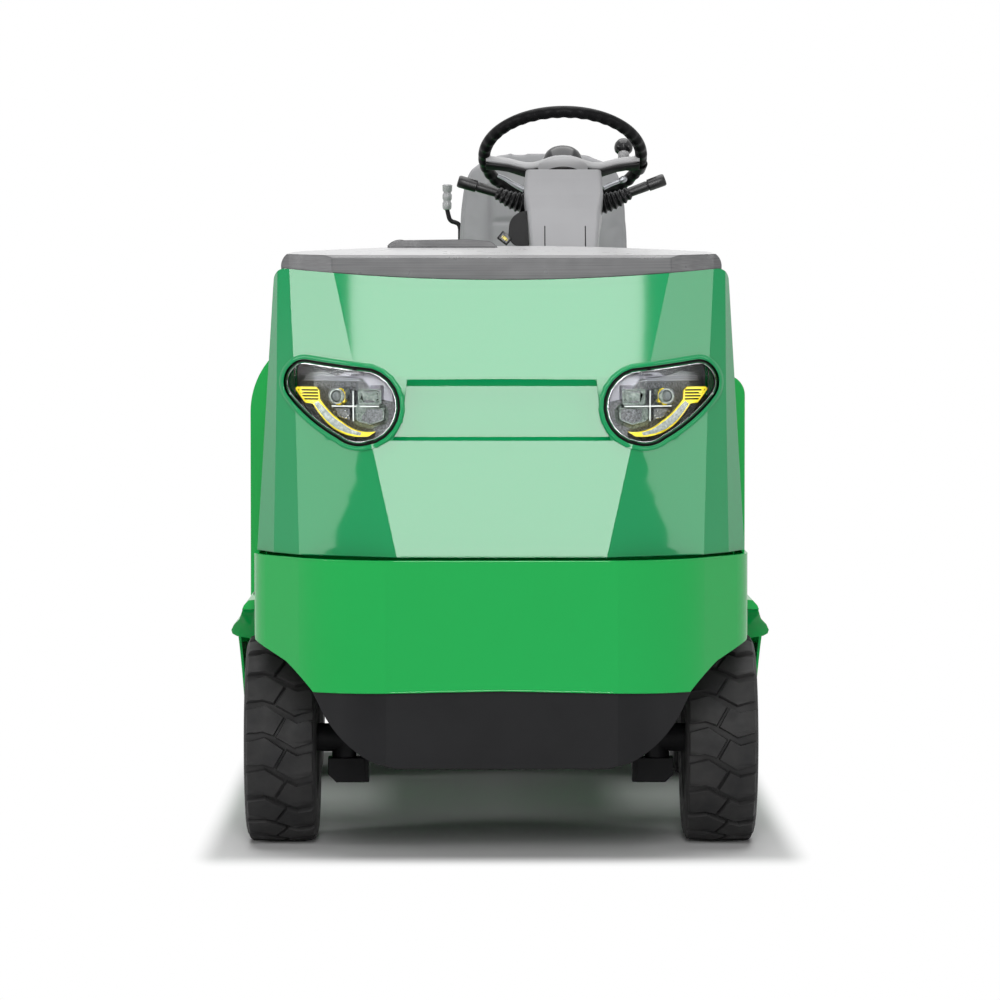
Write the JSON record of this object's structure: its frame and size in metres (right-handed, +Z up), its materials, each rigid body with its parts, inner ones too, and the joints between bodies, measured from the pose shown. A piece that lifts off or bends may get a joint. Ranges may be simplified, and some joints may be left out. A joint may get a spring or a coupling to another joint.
{
  "type": "airport baggage tug",
  "caption": "Sit-on electric tow tractor for baggage trains: glossy green cowl and wrap bumper, driver's seat over a tilting battery hood, rear tow jaw with drop pin.",
  "frame": {"origin": "on the ground under the middle of the vehicle's box", "axes": "+X to the driver's left, +Y towards the rear, +Z up; the front faces -Y"},
  "size_m": [1.214, 2.7, 1.6294],
  "materials": {
    "body_paint": "gloss",
    "black_paint": "satin",
    "frame_paint": "satin",
    "grey_plastic": "textured",
    "dark_plastic": "textured",
    "lamp_housing": "gloss",
    "lamp_optics": "polished",
    "lamp_lens": "clear",
    "rear_lamp_lens": "gloss",
    "seat_cover": "satin",
    "bare_steel": "machined",
    "wheel_paint": "satin",
    "tyre": "matte",
    "battery_case": "matte",
    "floor_rubber": "ribbed",
    "light_guide": "translucent"
  },
  "bodies": {
    "chassis": {"chassis_frame": "frame_paint", "front_bumper": "body_paint", "front_apron": "black_paint", "front_cowl": "body_paint", "dash_top": "grey_plastic", "display_pod": "grey_plastic", "footwell_bulkhead": "body_paint", "floor_plate": "floor_rubber", "steering_column": "grey_plastic", "control_pod": "dark_plastic", "front_axle_beam": "frame_paint", "rear_axle": "frame_paint", "drive_motor": "frame_paint", "battery_box": "body_paint", "battery_pack": "battery_case", "rear_deck": "body_paint", "rear_bumper": "black_paint", "tow_coupling": "black_paint", "rear_pod_left": "body_paint", "rear_pod_right": "body_paint", "headlamp_left": "lamp_housing", "headlamp_unit_left": "lamp_optics", "headlamp_lens_left": "lamp_lens", "side_step_left": "body_paint", "headlamp_right": "lamp_housing", "headlamp_unit_right": "lamp_optics", "headlamp_lens_right": "lamp_lens", "side_step_right": "body_paint", "column_levers": "dark_plastic", "pedals": "black_paint", "front_springs": "frame_paint", "rear_springs": "frame_paint", "rear_lamps": "rear_lamp_lens", "headlamp_light_bar_left": "light_guide", "headlamp_light_bar_right": "light_guide"},
    "seat_hood": {"battery_hood": "body_paint", "seat_base": "dark_plastic", "seat_cushion": "seat_cover", "seat_backrest": "seat_cover", "parking_brake_lever": "black_paint"},
    "steering_wheel": {"steering_wheel": "dark_plastic"},
    "front_knuckle_left": {"front_knuckle_left": "frame_paint"},
    "front_knuckle_right": {"front_knuckle_right": "frame_paint"},
    "tie_rod": {"tie_rod": "frame_paint"},
    "tow_pin": {"tow_pin": "bare_steel"},
    "front_wheel_left": {"front_rim_left": "wheel_paint", "front_tyre_left": "tyre"},
    "front_wheel_right": {"front_rim_right": "wheel_paint", "front_tyre_right": "tyre"},
    "rear_wheel_left": {"rear_rim_left": "wheel_paint", "rear_tyre_left": "tyre"},
    "rear_wheel_right": {"rear_rim_right": "wheel_paint", "rear_tyre_right": "tyre"}
  },
  "joints": [
    {"name": "front_left_steer", "type": "hinge", "parent": "chassis", "child": "front_knuckle_left", "pos_m": [0.345, -0.87, 0.228], "axis": [0, 0, 1], "range_deg": [-30, 30]},
    {"name": "front_right_steer", "type": "hinge", "parent": "chassis", "child": "front_knuckle_right", "pos_m": [-0.345, -0.87, 0.228], "axis": [0, 0, 1], "range_deg": [-30, 30]},
    {"name": "tie_rod_hinge", "type": "hinge", "parent": "front_knuckle_left", "child": "tie_rod", "pos_m": [0.345, -0.73, 0.232], "axis": [0, 0, 1], "range_deg": [-30, 30]},
    {"name": "steering_wheel_turn", "type": "hinge", "parent": "chassis", "child": "steering_wheel", "pos_m": [0.145, -0.4, 1.519], "axis": [0, 0.5373, 0.8434], "range_deg": [-360, 360]},
    {"name": "front_left_wheel_spin", "type": "hinge", "parent": "front_knuckle_left", "child": "front_wheel_left", "pos_m": [0.479, -0.87, 0.228], "axis": [1, 0, 0], "continuous": true},
    {"name": "front_right_wheel_spin", "type": "hinge", "parent": "front_knuckle_right", "child": "front_wheel_right", "pos_m": [-0.479, -0.87, 0.228], "axis": [1, 0, 0], "continuous": true},
    {"name": "rear_left_wheel_spin", "type": "hinge", "parent": "chassis", "child": "rear_wheel_left", "pos_m": [0.517, 0.61, 0.228], "axis": [1, 0, 0], "continuous": true},
    {"name": "rear_right_wheel_spin", "type": "hinge", "parent": "chassis", "child": "rear_wheel_right", "pos_m": [-0.517, 0.61, 0.228], "axis": [1, 0, 0], "continuous": true},
    {"name": "battery_hood_hinge", "type": "hinge", "parent": "chassis", "child": "seat_hood", "pos_m": [0, 0.503, 0.815], "axis": [-1, 0, 0], "range_deg": [0, 60]},
    {"name": "tow_pin_slide", "type": "slide", "parent": "chassis", "child": "tow_pin", "axis": [0, 0, 1], "range_m": [0, 0.19]}
  ],
  "couplings": [
    {"joint": "front_right_steer", "follows": "front_left_steer", "ratio": 1},
    {"joint": "steering_wheel_turn", "follows": "front_left_steer", "ratio": 12},
    {"joint": "tie_rod_hinge", "follows": "front_left_steer", "ratio": -1}
  ]
}
